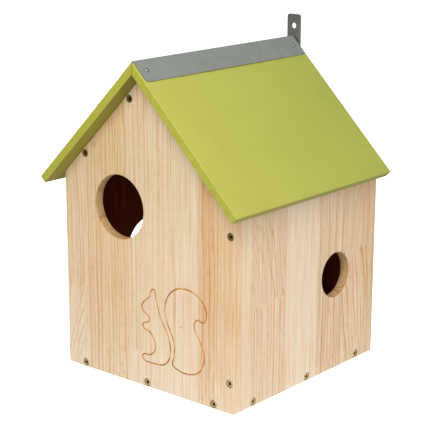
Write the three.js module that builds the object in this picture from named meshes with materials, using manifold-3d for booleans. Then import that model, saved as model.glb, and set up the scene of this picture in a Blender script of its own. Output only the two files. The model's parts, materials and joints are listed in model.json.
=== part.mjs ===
// Wooden nest box for squirrels, in millimetres with +Z up.
// Four pine walls on a pine floor, a gabled roof of two painted boards under a folded
// metal ridge cap, and a metal strip at the back to hang it by. The left wall is the
// cleaning door: it swings out on two hidden steel pins, and a turn button holds it shut.
// The origin is the centre of the floor's underside. The front looks along -Y.

import * as THREE from 'three';
import { mergeVertices } from 'three/addons/utils/BufferGeometryUtils.js';
import Module from 'manifold-3d';

const wasm = await Module();
wasm.setup();

// Body
const WIDTH = 260;             // across the front, outside
const DEPTH = 272;             // front face to back face
const BOARD = 12;              // pine board
const SHOULDER = 239;          // height of the gable's lower corners
const GAP = 0.3;               // clearance of a cut or tilted piece to its neighbour

// Entrances: diameter, and centre across the wall and above the floor's underside
const FRONT_HOLE = { d: 76, across: -41.8, up: 209.9 };
const RIGHT_HOLE = { d: 55, across: 54, up: 118.6 };
const DOOR_HOLE = { d: 75, across: -5, up: 121 };

// Roof, pitched at 45 degrees
const ROOF_BOARD = 10;
const ROOF_SLOPE = 212.5;      // ridge to eave along the top
const ROOF_OVERHANG = 21;      // past the front panel
const BATTEN_FROM = 14;        // inner board's ends, down the slope from the ridge
const BATTEN_TO = 165;

// Folded ridge cap
const SHEET = 0.8;
const CAP_FLANGE = 30;
const CAP_BEND = 0.4;          // inside bend radius
const CAP_CORNER = 5;
const CAP_INSET = 2.5;         // from the roof's ends
const NAIL_DOWN = 14.5;        // nail's place down the flange, and from the cap's end
const NAIL_ALONG = 14;

// Hanger strip
const STRIP = { width: 20, thick: 2, bottom: 251, top: 411, corner: 3 };
const STRIP_HOLE = { d: 7, up: 396.6 };
const STRIP_SCREWS_UP = [275, 350];

// Cleaning door and its turn button
const DOOR_TOP = 236;
const DOOR_BOTTOM = 2;
const DOOR_SIDE_GAP = 1;
const PIVOT_UP = 226;
const PIN = { radius: 2, length: 28, inWall: 8 };
const BUTTON = { width: 8, length: 38, thick: 1.5, corner: 3.5, end: 5, y: -129, up: 62 };

// Screw places
const FLOOR_SCREW_UP = 5.6;
const FLOOR_SCREW_SPACING = 101;
const EDGE_SCREW_IN = 5.9;     // from the panel's side edge
const EDGE_SCREWS_UP = [35.9, 204.6];
const SLOPE_SCREWS_DOWN = [39, 141];
const SLOPE_SCREW_DEPTH = 5.6; // below the roof's underside
const ROOF_SCREWS_DOWN = 90;
const ROOF_SCREWS_Y = 80;
const SUNK = 0.4;              // a screw head's top below the wood

// Groove of the engraved squirrel outline
const GROOVE = { width: 1.8, depth: 0.8 };
const ENGRAVING = { left: -9, bottom: 31.5, scale: 1.01 };

const SEGMENTS = { hole: 56, fastener: 12, bend: 4, corner: 4 };

const RIGHT = WIDTH / 2;
const BACK = DEPTH / 2;
const INNER_X = RIGHT - BOARD;
const INNER_Y = BACK - BOARD;
const ROOT_HALF = Math.SQRT1_2;
const APEX = SHOULDER + RIGHT;
const ROOF_INNER = APEX + GAP * Math.SQRT2;    // underside of the roof at the ridge
const ROOF_TOP = ROOF_INNER + ROOF_BOARD * Math.SQRT2;
const ROOF_FRONT = -BACK - ROOF_OVERHANG;

const X = new THREE.Vector3(1, 0, 0);
const Y = new THREE.Vector3(0, 1, 0);

const MATERIALS = {
  pine: { color: '#e6cba6', roughness: 0.62, metalness: 0 },
  paint: { color: '#b4bd57', roughness: 0.5, metalness: 0 },
  galvanised: { color: '#a3a6a3', roughness: 0.42, metalness: 0.9 },
  zinc: { color: '#77756f', roughness: 0.5, metalness: 0.85 },
  yellow_zinc: { color: '#b79f63', roughness: 0.35, metalness: 0.9 },
  steel: { color: '#b9bbbd', roughness: 0.3, metalness: 0.95 },
};
for (const [name, look] of Object.entries(MATERIALS)) {
  MATERIALS[name] = new THREE.MeshStandardMaterial(look);
}

// ---- solids ----

function toSolid(geometry) {
  const bare = geometry.clone();
  bare.deleteAttribute('normal');
  bare.deleteAttribute('uv');
  const merged = mergeVertices(bare, 1e-4);
  return new wasm.Manifold(new wasm.Mesh({
    numProp: 3,
    vertProperties: new Float32Array(merged.attributes.position.array),
    triVerts: new Uint32Array(merged.index.array),
  }));
}

function toGeometry(solid) {
  const { vertProperties, triVerts } = solid.getMesh();
  const geometry = new THREE.BufferGeometry();
  geometry.setAttribute('position', new THREE.BufferAttribute(vertProperties, 3));
  geometry.setIndex(new THREE.BufferAttribute(triVerts, 1));
  geometry.computeVertexNormals();
  return geometry;
}

// An outline in X and Z, extruded along Y
function alongY(outline, from, to, curveSegments = SEGMENTS.corner) {
  const geometry = new THREE.ExtrudeGeometry(outline, {
    depth: to - from, bevelEnabled: false, steps: 1, curveSegments,
  });
  return geometry.rotateX(Math.PI / 2).translate(0, to, 0);
}

// An outline in Y and Z, extruded along X
function alongX(outline, from, to, curveSegments = SEGMENTS.corner) {
  const geometry = new THREE.ExtrudeGeometry(outline, {
    depth: to - from, bevelEnabled: false, steps: 1, curveSegments,
  });
  return geometry.rotateX(Math.PI / 2).rotateZ(Math.PI / 2).translate(from, 0, 0);
}

function polygon(points) {
  return new THREE.Shape(points.map(([a, b]) => new THREE.Vector2(a, b)));
}

function roundedRectangle(left, right, bottom, top, radius) {
  const shape = new THREE.Shape();
  shape.moveTo(left + radius, bottom);
  shape.absarc(right - radius, bottom + radius, radius, -Math.PI / 2, 0);
  shape.absarc(right - radius, top - radius, radius, 0, Math.PI / 2);
  shape.absarc(left + radius, top - radius, radius, Math.PI / 2, Math.PI);
  shape.absarc(left + radius, bottom + radius, radius, Math.PI, Math.PI * 1.5);
  return shape;
}

// A round cutter through a wall at centre, along a unit axis
function bore(diameter, centre, axis, length, segments = SEGMENTS.hole) {
  const turn = new THREE.Quaternion().setFromUnitVectors(Y, axis);
  const geometry = new THREE.CylinderGeometry(diameter / 2, diameter / 2, length, segments);
  return toSolid(geometry.applyQuaternion(turn).translate(...centre));
}

// A point of a roof slope: side is +1 right or -1 left, down runs from the ridge along
// the underside, and over is the height above the underside
function slopePoint(side, down, over) {
  return [side * (down + over) * ROOT_HALF, ROOF_INNER + (over - down) * ROOT_HALF];
}

function slopeNormal(side) {
  return new THREE.Vector3(side * ROOT_HALF, 0, ROOT_HALF);
}

// ---- boards ----

const gable = polygon([
  [-RIGHT, 0], [RIGHT, 0], [RIGHT, SHOULDER], [0, APEX], [-RIGHT, SHOULDER],
]);
// Every wooden, sheet metal and plate piece as a solid, by name
const boards = {
  front_panel: toSolid(alongY(gable, -BACK, -INNER_Y)),
  back_panel: toSolid(alongY(gable, INNER_Y, BACK)),
  right_side_panel: toSolid(alongY(polygon([
    [INNER_X, 0], [RIGHT, 0], [RIGHT, SHOULDER], [INNER_X, SHOULDER + BOARD],
  ]), -INNER_Y, INNER_Y)),
  floor_panel: toSolid(alongY(polygon([
    [-INNER_X + GAP, 0], [INNER_X, 0], [INNER_X, BOARD], [-INNER_X + GAP, BOARD],
  ]), -INNER_Y, INNER_Y)),
  cleaning_door: toSolid(alongY(polygon([
    [-RIGHT, DOOR_BOTTOM], [-INNER_X, DOOR_BOTTOM], [-INNER_X, DOOR_TOP], [-RIGHT, DOOR_TOP],
  ]), -INNER_Y + DOOR_SIDE_GAP, INNER_Y - DOOR_SIDE_GAP)),
};

for (const [word, side] of [['left', -1], ['right', 1]]) {
  const eave = ROOF_SLOPE - ROOF_BOARD;
  boards[`roof_${word}`] = toSolid(alongY(polygon([
    [0, ROOF_INNER], [0, ROOF_TOP], slopePoint(side, eave, ROOF_BOARD), slopePoint(side, eave, 0),
  ]), ROOF_FRONT, BACK));
  boards[`roof_batten_${word}`] = toSolid(alongY(polygon([
    slopePoint(side, BATTEN_FROM, -GAP - BOARD), slopePoint(side, BATTEN_TO, -GAP - BOARD),
    slopePoint(side, BATTEN_TO, -GAP), slopePoint(side, BATTEN_FROM, -GAP),
  ]), -INNER_Y, INNER_Y));
}

function cut(name, cutter) {
  boards[name] = boards[name].subtract(cutter);
}

const THROUGH = 2 * BOARD;
const MID_BOARD = BOARD / 2;
cut('front_panel',
  bore(FRONT_HOLE.d, [FRONT_HOLE.across, -BACK + MID_BOARD, FRONT_HOLE.up], Y, THROUGH));
cut('right_side_panel',
  bore(RIGHT_HOLE.d, [RIGHT - MID_BOARD, RIGHT_HOLE.across, RIGHT_HOLE.up], X, THROUGH));
cut('cleaning_door',
  bore(DOOR_HOLE.d, [-RIGHT + MID_BOARD, DOOR_HOLE.across, DOOR_HOLE.up], X, THROUGH));

// ---- engraving: a sitting squirrel, drawn on a grid of 100 by 100 ----

const SQUIRREL_BODY = [
  [1, 65], [4, 71], [9.5, 76], [14, 80], [15.6, 85.5], [17.5, 88.8], [20.5, 88.8], [22.2, 85.5],
  [23, 79], [25.3, 72], [27.5, 64], [31.5, 55], [38, 45], [43, 34], [45, 21], [42, 9], [34, 2],
  [19, 0], [4.5, 0.8], [1.5, 4.5], [4.5, 8.5], [12, 9], [19, 13], [22, 20], [20.5, 28], [17, 34],
  [12, 37.8], [5.5, 39], [2.3, 42.5], [5, 46.3], [11, 48.5], [13, 52.5], [10, 57], [4, 60],
];
const SQUIRREL_TAIL = [
  [48, 6], [57, 1], [72, 0], [86, 5], [94, 16], [95, 30], [89, 43], [82, 54], [81, 63],
  [86, 67.5], [92, 65.5], [96.5, 68], [98.5, 76], [95, 87], [86, 95], [73, 99], [58, 98],
  [46, 91], [38.5, 79], [37, 66], [40.5, 53], [47, 41], [51, 29], [50.5, 16],
];

function grooveCutter(points) {
  const onPanel = points.map(([a, b]) => new THREE.Vector3(
    ENGRAVING.left + a * ENGRAVING.scale, ENGRAVING.bottom + b * ENGRAVING.scale, 0));
  const curve = new THREE.CatmullRomCurve3(onPanel, true, 'centripetal');
  const steps = points.length * 4;
  const inside = (offset) => {
    const edge = Array.from({ length: steps }, (_, i) => {
      const centre = curve.getPoint(i / steps);
      const tangent = curve.getTangent(i / steps);
      return [centre.x - tangent.y * offset, centre.y + tangent.x * offset];
    });
    return toSolid(alongY(polygon(edge), -BACK - 1, -BACK + GROOVE.depth));
  };
  const [one, other] = [inside(GROOVE.width / 2), inside(-GROOVE.width / 2)];
  return one.volume() > other.volume() ? one.subtract(other) : other.subtract(one);
}

cut('front_panel', grooveCutter(SQUIRREL_BODY));
cut('front_panel', grooveCutter(SQUIRREL_TAIL));

// ---- sheet metal ----

const capApex = ROOF_TOP + GAP * Math.SQRT2;

function capPoint(side, down, over) {
  return [side * (down + over) * ROOT_HALF, capApex + (over - down) * ROOT_HALF];
}

function ridgeCap() {
  const bendCentre = capApex - CAP_BEND * Math.SQRT2;
  const outline = new THREE.Shape();
  outline.moveTo(...capPoint(1, CAP_FLANGE, 0));
  outline.lineTo(...capPoint(1, CAP_FLANGE, SHEET));
  outline.absarc(0, bendCentre, CAP_BEND + SHEET, Math.PI / 4, Math.PI * 0.75);
  outline.lineTo(...capPoint(-1, CAP_FLANGE, SHEET));
  outline.lineTo(...capPoint(-1, CAP_FLANGE, 0));
  outline.absarc(0, bendCentre, CAP_BEND, Math.PI * 0.75, Math.PI / 4, true);
  let cap = toSolid(alongY(outline, ROOF_FRONT + CAP_INSET, BACK - CAP_INSET, SEGMENTS.bend));
  for (const side of [-1, 1]) {
    for (const end of [-1, 1]) {
      cap = cap.subtract(capCornerCutter(side, end));
    }
  }
  return cap;
}

// What a rounded corner takes off a flange: a square less a quarter disc
function capCornerCutter(side, end) {
  const past = 1;
  const shape = new THREE.Shape();
  shape.moveTo(past, past);
  shape.lineTo(-CAP_CORNER, past);
  shape.lineTo(-CAP_CORNER, 0);
  shape.absarc(-CAP_CORNER, -CAP_CORNER, CAP_CORNER, Math.PI / 2, 0, true);
  shape.lineTo(past, -CAP_CORNER);
  const block = new THREE.ExtrudeGeometry(shape, {
    depth: 3 * SHEET, bevelEnabled: false, steps: 1, curveSegments: SEGMENTS.corner,
  });
  const down = new THREE.Vector3(side * ROOT_HALF, 0, -ROOT_HALF);
  const along = new THREE.Vector3(0, end, 0);
  const mirrored = down.clone().cross(along).dot(slopeNormal(side)) < 0;
  const axes = mirrored ? [along, down] : [down, along];
  const place = new THREE.Matrix4().makeBasis(...axes, slopeNormal(side));
  const [x, z] = capPoint(side, CAP_FLANGE, -SHEET);
  const y = end > 0 ? BACK - CAP_INSET : ROOF_FRONT + CAP_INSET;
  return toSolid(block.applyMatrix4(place).translate(x, y, z));
}

function hangerStrip() {
  const half = STRIP.width / 2;
  const outline = roundedRectangle(-half, half, STRIP.bottom, STRIP.top, STRIP.corner);
  const plate = toSolid(alongY(outline, BACK, BACK + STRIP.thick));
  const middle = [0, BACK + STRIP.thick / 2, STRIP_HOLE.up];
  return plate.subtract(bore(STRIP_HOLE.d, middle, Y, 3 * STRIP.thick, SEGMENTS.hole / 2));
}

function turnButton() {
  const { width, length, thick, end, y, up } = BUTTON;
  const outline = roundedRectangle(
    y - width / 2, y + width / 2, up + end - length, up + end, BUTTON.corner);
  return toSolid(alongX(outline, -RIGHT - GAP - thick, -RIGHT - GAP));
}

boards.ridge_cap = ridgeCap();
boards.hanger_strip = hangerStrip();
boards.turn_button = turnButton();

// ---- fasteners: each is a profile turned about its axis, head uppermost ----

// Countersunk screw, from its head's flat top at 0 down to the tip
function countersunk(headRadius, shankRadius, length) {
  const coneDepth = headRadius - shankRadius + 0.4;
  return (gap) => [
    [0, -length - gap], [shankRadius + gap, -length + 3 * shankRadius - gap],
    [shankRadius + gap, -coneDepth - gap], [headRadius + gap, -0.4 - gap], [headRadius + gap, 0], [0, 0],
  ];
}

// Nail or screw with a raised head that rests on the surface at 0
function raised(headRadius, headHeight, shankRadius, length) {
  return (gap) => [
    [0, -length - gap], [shankRadius + gap, -length + 2 * shankRadius - gap],
    [shankRadius + gap, 0], [headRadius + gap, 0],
    [headRadius + gap, headHeight * 0.4], [headRadius * 0.6 + gap, headHeight], [0, headHeight],
  ];
}

function turned(profile) {
  const points = profile.map(([r, y]) => new THREE.Vector2(r, y));
  return new THREE.LatheGeometry(points, SEGMENTS.fastener);
}

const WOOD_SCREW = countersunk(4, 1.75, 32);
const ROOF_SCREW = countersunk(3.5, 1.6, 20);
const STRIP_SCREW = countersunk(3.4, 1.5, 12.6);
const CAP_NAIL = raised(2.6, 1, 1, 9);
const BUTTON_SCREW = raised(3, 1.6, 1.6, 20);

const house = new THREE.Group();

// Drives a fastener in at a point of a surface, its head facing outwards, and cuts its
// clearance hole through the boards that it passes
function drive(name, profile, material, point, outwards, through) {
  const turn = new THREE.Quaternion().setFromUnitVectors(Y, outwards);
  const open = profile(GAP).map(([r, y], i, all) => [r, i >= all.length - 2 ? y + 2 : y]);
  const cavity = toSolid(turned(open).applyQuaternion(turn).translate(...point));
  for (const board of through) {
    cut(board, cavity);
  }
  const mesh = new THREE.Mesh(turned(profile(0)), material);
  mesh.name = name;
  mesh.position.set(...point);
  mesh.quaternion.copy(turn);
  house.add(mesh);
}

for (const [wall, facing] of [['front', -1], ['back', 1]]) {
  const outwards = new THREE.Vector3(0, facing, 0);
  const y = facing * (BACK - SUNK);
  const screw = (place, x, z, board) => drive(
    `${wall}_screw_${place}`, WOOD_SCREW, MATERIALS.yellow_zinc, [x, y, z], outwards,
    [`${wall}_panel`, board]);
  for (const [word, step] of [['left', -1], ['middle', 0], ['right', 1]]) {
    screw(`floor_${word}`, step * FLOOR_SCREW_SPACING, FLOOR_SCREW_UP, 'floor_panel');
  }
  EDGE_SCREWS_UP.forEach((z, i) => screw(
    `edge_${['lower', 'upper'][i]}`, RIGHT - EDGE_SCREW_IN, z, 'right_side_panel'));
  for (const [word, side] of [['left', -1], ['right', 1]]) {
    SLOPE_SCREWS_DOWN.forEach((down, i) => {
      const [x, z] = slopePoint(side, down, -SLOPE_SCREW_DEPTH);
      screw(`slope_${word}_${['upper', 'lower'][i]}`, x, z, `roof_batten_${word}`);
    });
  }
}

for (const [word, step] of [['front', -1], ['middle', 0], ['back', 1]]) {
  drive(`side_screw_floor_${word}`, WOOD_SCREW, MATERIALS.yellow_zinc,
    [RIGHT - SUNK, step * FLOOR_SCREW_SPACING, FLOOR_SCREW_UP], X,
    ['right_side_panel', 'floor_panel']);
}

for (const [word, side] of [['left', -1], ['right', 1]]) {
  for (const [end, y] of [['front', -ROOF_SCREWS_Y], ['back', ROOF_SCREWS_Y]]) {
    const [x, z] = slopePoint(side, ROOF_SCREWS_DOWN, -GAP - BOARD + SUNK);
    drive(`roof_screw_${word}_${end}`, ROOF_SCREW, MATERIALS.yellow_zinc, [x, y, z],
      slopeNormal(side).negate(), [`roof_batten_${word}`, `roof_${word}`]);
  }
  for (const [end, y] of [['front', ROOF_FRONT + NAIL_ALONG], ['back', BACK - NAIL_ALONG]]) {
    const [x, z] = capPoint(side, NAIL_DOWN, SHEET + GAP);
    drive(`cap_nail_${word}_${end}`, CAP_NAIL, MATERIALS.galvanised, [x, y, z],
      slopeNormal(side), ['ridge_cap', `roof_${word}`]);
  }
}

STRIP_SCREWS_UP.forEach((z, i) => drive(
  `hanger_screw_${['lower', 'upper'][i]}`, STRIP_SCREW, MATERIALS.zinc,
  [0, BACK + STRIP.thick - 0.1, z], Y, ['hanger_strip', 'back_panel']));

drive('turn_button_screw', BUTTON_SCREW, MATERIALS.yellow_zinc,
  [-RIGHT - 2 * GAP - BUTTON.thick, BUTTON.y, BUTTON.up], X.clone().negate(),
  ['turn_button', 'front_panel']);

// ---- the door's two pivot pins, half in the door's edge and half in the wall ----

for (const [word, facing] of [['front', -1], ['back', 1]]) {
  const y = facing * (INNER_Y + PIN.inWall - GAP - PIN.length / 2);
  const centre = [-RIGHT + BOARD / 2, y, PIVOT_UP];
  const socket = bore(2 * (PIN.radius + GAP), centre, Y, PIN.length + 2 * GAP, SEGMENTS.fastener);
  cut(`${word}_panel`, socket);
  cut('cleaning_door', socket);
  const pin = new THREE.Mesh(
    new THREE.CylinderGeometry(PIN.radius, PIN.radius, PIN.length, SEGMENTS.fastener), MATERIALS.steel);
  pin.name = `door_pin_${word}`;
  pin.position.set(...centre);
  house.add(pin);
}

// ---- assembly ----

const NOT_PINE = {
  roof_left: 'paint',
  roof_right: 'paint',
  ridge_cap: 'galvanised',
  hanger_strip: 'zinc',
  turn_button: 'zinc',
};
for (const [name, solid] of Object.entries(boards)) {
  const mesh = new THREE.Mesh(toGeometry(solid), MATERIALS[NOT_PINE[name] ?? 'pine']);
  mesh.name = name;
  house.add(mesh);
}

export default house;
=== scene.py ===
"""Looks of the squirrel nest box: pine walls with an engraved outline, painted roof boards, a folded
metal ridge cap, a hanger strip and their fasteners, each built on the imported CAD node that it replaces.
Metres, in the CAD frame: +Z up, the front looks along -Y."""

import json
import math
import random

import bmesh
import bpy
from mathutils import Matrix, Vector, noise


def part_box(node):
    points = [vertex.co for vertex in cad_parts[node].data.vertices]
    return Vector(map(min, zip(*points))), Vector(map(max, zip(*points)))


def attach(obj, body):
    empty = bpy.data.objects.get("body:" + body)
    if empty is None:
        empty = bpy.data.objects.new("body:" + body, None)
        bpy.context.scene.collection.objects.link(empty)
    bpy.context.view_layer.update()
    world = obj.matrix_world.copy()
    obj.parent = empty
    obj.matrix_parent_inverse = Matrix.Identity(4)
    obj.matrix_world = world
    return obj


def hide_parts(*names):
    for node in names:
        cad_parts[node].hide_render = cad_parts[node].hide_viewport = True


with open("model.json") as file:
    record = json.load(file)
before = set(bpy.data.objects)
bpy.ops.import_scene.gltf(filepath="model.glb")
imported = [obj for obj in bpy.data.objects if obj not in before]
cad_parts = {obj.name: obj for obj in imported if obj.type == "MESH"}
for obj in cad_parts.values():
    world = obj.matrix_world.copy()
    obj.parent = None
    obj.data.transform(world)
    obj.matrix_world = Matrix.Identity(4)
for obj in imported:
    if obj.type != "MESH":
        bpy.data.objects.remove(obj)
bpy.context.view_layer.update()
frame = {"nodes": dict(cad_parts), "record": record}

MM = 0.001
PITCH = math.radians(45)
RANDOM = random.Random(7)

# Sizes of what is finer than the frame's boxes
FRONT_HOLE = 76 * MM           # the entrances' diameters
SIDE_HOLE = 55 * MM
DOOR_HOLE = 75 * MM
HOLE_ROUNDING = 0.4 * MM
ARRIS = 0.7 * MM               # rounding of a planed board's edges
PAINTED_ARRIS = 0.9 * MM
MITRE_GAP = 0.4 * MM           # from the ridge's middle to each roof board
GROOVE_RADIUS = 0.95 * MM
SHEET = 0.8 * MM
CAP_BEND = 1.2 * MM            # outside bend radius
CAP_FLANGE = 30 * MM
CAP_CORNER = 5 * MM
CAP_LIFT = 0.5 * MM            # how far the flanges spring up between the nails
ROOF_BOARD = 10 * MM
STRIP_CORNER = 3 * MM
STRIP_HOLE = 7 * MM
SHEARED = 0.25 * MM            # rounding of the strip's edges
BUTTON_CORNER = 3.5 * MM
BUTTON_HOLE = 3.8 * MM
BUTTON_EDGE = 0.3 * MM         # rounding of its edges, and of its hole's rim
BUTTON_RIM = 0.15 * MM
NAIL_LENGTH = 9 * MM
NAIL_SHANK = 1 * MM            # radii of a nail's shank and head
NAIL_HEAD = 2.6 * MM
NAIL_DENT = 0.4 * MM           # how deep a nail presses the cap in, and how far out the dent fades
NAIL_DENT_REACH = 3.8 * MM
PIN_RADIUS = 2 * MM
PIN_CHAMFER = 0.4 * MM
FIT = 0.3 * MM                 # room round a fastener
CRUSHED = 0.4 * MM             # the pressed ring of wood round a screw's head
PAST = 2 * MM                  # how far a cutter goes past the face that it cuts
THREAD_PITCH = 1.8 * MM
BORE_SIDES = 32                # of a hole that a fastener fills

# Head radius, shank radius and length
WOOD_SCREW = (4 * MM, 1.75 * MM, 32 * MM)
ROOF_SCREW = (3.5 * MM, 1.6 * MM, 20 * MM)
STRIP_SCREW = (3.4 * MM, 1.5 * MM, 12.6 * MM)
BUTTON_SCREW = (3 * MM, 1.6 * MM, 20 * MM)
BUTTON_SCREW_HEAD = 1.6 * MM   # how high its raised head stands

X, Y, Z = Vector((1, 0, 0)), Vector((0, 1, 0)), Vector((0, 0, 1))


# ---- shader building ----

class Shader:
    """One material's node tree, built with short calls that return sockets."""

    def __init__(self, name):
        self.material = bpy.data.materials.new(name)
        self.material.use_nodes = True
        self.tree = self.material.node_tree
        self.tree.nodes.clear()
        output = self.tree.nodes.new("ShaderNodeOutputMaterial")
        self.surface = self.tree.nodes.new("ShaderNodeBsdfPrincipled")
        self.tree.links.new(self.surface.outputs[0], output.inputs[0])

    def put(self, socket, value):
        if isinstance(value, bpy.types.NodeSocket):
            self.tree.links.new(value, socket)
        else:
            socket.default_value = value

    def node(self, kind, inputs=None, **settings):
        made = self.tree.nodes.new("ShaderNode" + kind)
        for key, value in settings.items():
            setattr(made, key, value)
        for key, value in (inputs or {}).items():
            self.put(made.inputs[key], value)
        return made

    def maths(self, operation, *values):
        return self.node("Math", dict(enumerate(values)), operation=operation).outputs[0]

    def plus(self, one, other):
        return self.maths("ADD", one, other)

    def minus(self, one, other):
        return self.maths("SUBTRACT", one, other)

    def times(self, one, other):
        return self.maths("MULTIPLY", one, other)

    def over(self, one, other):
        return self.maths("DIVIDE", one, other)

    def centred(self, value, amount):
        """A value from 0 to 1, moved to lie about 0 and multiplied by amount."""
        return self.times(self.minus(value, 0.5), amount)

    def clamp(self, value):
        return self.node("Clamp", {0: value}).outputs[0]

    def spread(self, value, low, high, to_low, to_high):
        """value from low..high to to_low..to_high, held at the ends."""
        return self.node("MapRange", {0: value, 1: low, 2: high, 3: to_low, 4: to_high}).outputs[0]

    def dot(self, vector, direction):
        return self.node(
            "VectorMath", {0: vector, 1: direction}, operation="DOT_PRODUCT"
        ).outputs["Value"]

    def combine(self, x, y, z):
        return self.node("CombineXYZ", {0: x, 1: y, 2: z}).outputs[0]

    def stretched(self, vector, x, y, z):
        return self.node("VectorMath", {0: vector, 1: (x, y, z)}, operation="MULTIPLY").outputs[0]

    def noise(self, vector, scale=1.0, detail=2.0, roughness=0.5):
        return self.node("TexNoise", {
            "Vector": vector, "Scale": scale, "Detail": detail, "Roughness": roughness,
        }).outputs[0]

    def ramp(self, factor, stops, interpolation="LINEAR"):
        """stops is a list of (position, colour or grey)."""
        made = self.node("ValToRGB", {0: factor})
        made.color_ramp.interpolation = interpolation
        elements = made.color_ramp.elements
        while len(elements) > 1:
            elements.remove(elements[-1])
        for i, (position, colour) in enumerate(stops):
            element = elements[0] if i == 0 else elements.new(position)
            element.position = position
            element.color = (colour, colour, colour, 1.0) if isinstance(colour, float) else colour
        return made

    def mix(self, factor, one, other, blend="MIX"):
        made = self.node("Mix", data_type="RGBA", blend_type=blend)
        self.put(made.inputs[0], factor)
        self.put(made.inputs[6], one)
        self.put(made.inputs[7], other)
        return made.outputs[2]

    def tint(self, colour, shade, factor=1.0):
        """The colour multiplied by a shade of red, green and blue, as far as factor goes."""
        return self.mix(factor, colour, (*shade, 1.0), "MULTIPLY")

    def place(self):
        """The point on the piece at rest, in millimetres."""
        coordinates = self.node("TexCoord").outputs["Object"]
        return self.node("VectorMath", {0: coordinates, 3: 1 / MM}, operation="SCALE").outputs[0]

    def finish(self, colour, roughness, specular, height, strength, depth):
        """Sets the surface's sockets, with bumps of depth where height is 1, and returns the material."""
        normal = self.node("Bump", {"Strength": strength, "Distance": depth, "Height": height})
        for name, value in (("Base Color", colour), ("Roughness", roughness),
                            ("Specular IOR Level", specular), ("Normal", normal.outputs[0])):
            self.put(self.surface.inputs[name], value)
        return self.material


def srgb(red, green, blue):
    """A linear colour from the usual 0 to 255 values."""
    def linear(value):
        value /= 255
        return value / 12.92 if value <= 0.04045 else ((value + 0.055) / 1.055) ** 2.4
    return (linear(red), linear(green), linear(blue), 1.0)


# ---- pine ----

# In millimetres, apart from the lean
REACH = 400                    # every board, heart and finger joint is within this of the origin
DEEPEST_HEART = 200
WIDEST_RING = 20
STEEPEST_LEAN = 0.25
FINGER = 3.0                   # half of a finger joint's pitch, and its length
FINGER_LENGTH = 7.0

TONE_TRIM = (0.965, 0.99, 1.05)   # makes up for the rings, which redden a strip's pale wood
STRIP_SHIFT = 3.7              # moves a strip's noise by this many times its heart's place
YEAR_SHIFT = 3.31              # and a year's noise by this many times its number

# How dark a ring is through its year, from its spring to its winter
RING = [(0.0, 0.10), (0.12, 0.0), (0.5, 0.10), (0.74, 0.40), (0.88, 1.0), (0.95, 0.55), (1.0, 0.10)]

# Colours that replace the wood's in part, and colours that are multiplied into it
SAPWOOD = (0.91, 0.82, 0.66, 1.0)
# Painted light: the pale colour laid on a board's foot
FOOT_PAINTED_LIGHT = (0.96, 0.89, 0.76, 1.0)
ROSY, SALLOW = (1.03, 0.97, 0.97), (0.97, 1.01, 0.93)
# Painted shade: the darker, warmer colour multiplied into a board's top, under the eaves
EAVE_PAINTED_SHADE = (0.93, 0.92, 0.89)
LATE_WOOD = (0.83, 0.60, 0.34)
STREAK = (0.92, 0.72, 0.46)
FIBRE = (0.92, 0.83, 0.70)
RESIN_DUCT = (0.80, 0.60, 0.40)
GLUE_LINE = (0.82, 0.55, 0.32)
HEARTWOOD = (0.93, 0.82, 0.70)


def unit(place):
    """A place in millimetres as a part of the whole reach, which a colour ramp can hold."""
    return (place + REACH) / (2 * REACH)


class Growth:
    """How a strip of pine grew: its pale wood's colour, where the tree's heart lies across and behind
    the face, the ring spacing, how much the heart leans along the strip, and how strong the rings
    show. All are kept as values from 0 to 1."""

    def __init__(self, tone, heart, behind, spacing, lean=0.0, contrast=0.5):
        self.tone = (*(part * trim for part, trim in zip(srgb(*tone), TONE_TRIM)), 1.0)
        self.rings = (unit(heart), behind / DEEPEST_HEART, spacing / WIDEST_RING, contrast)
        self.lean = 0.5 + lean / (2 * STEEPEST_LEAN)


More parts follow.
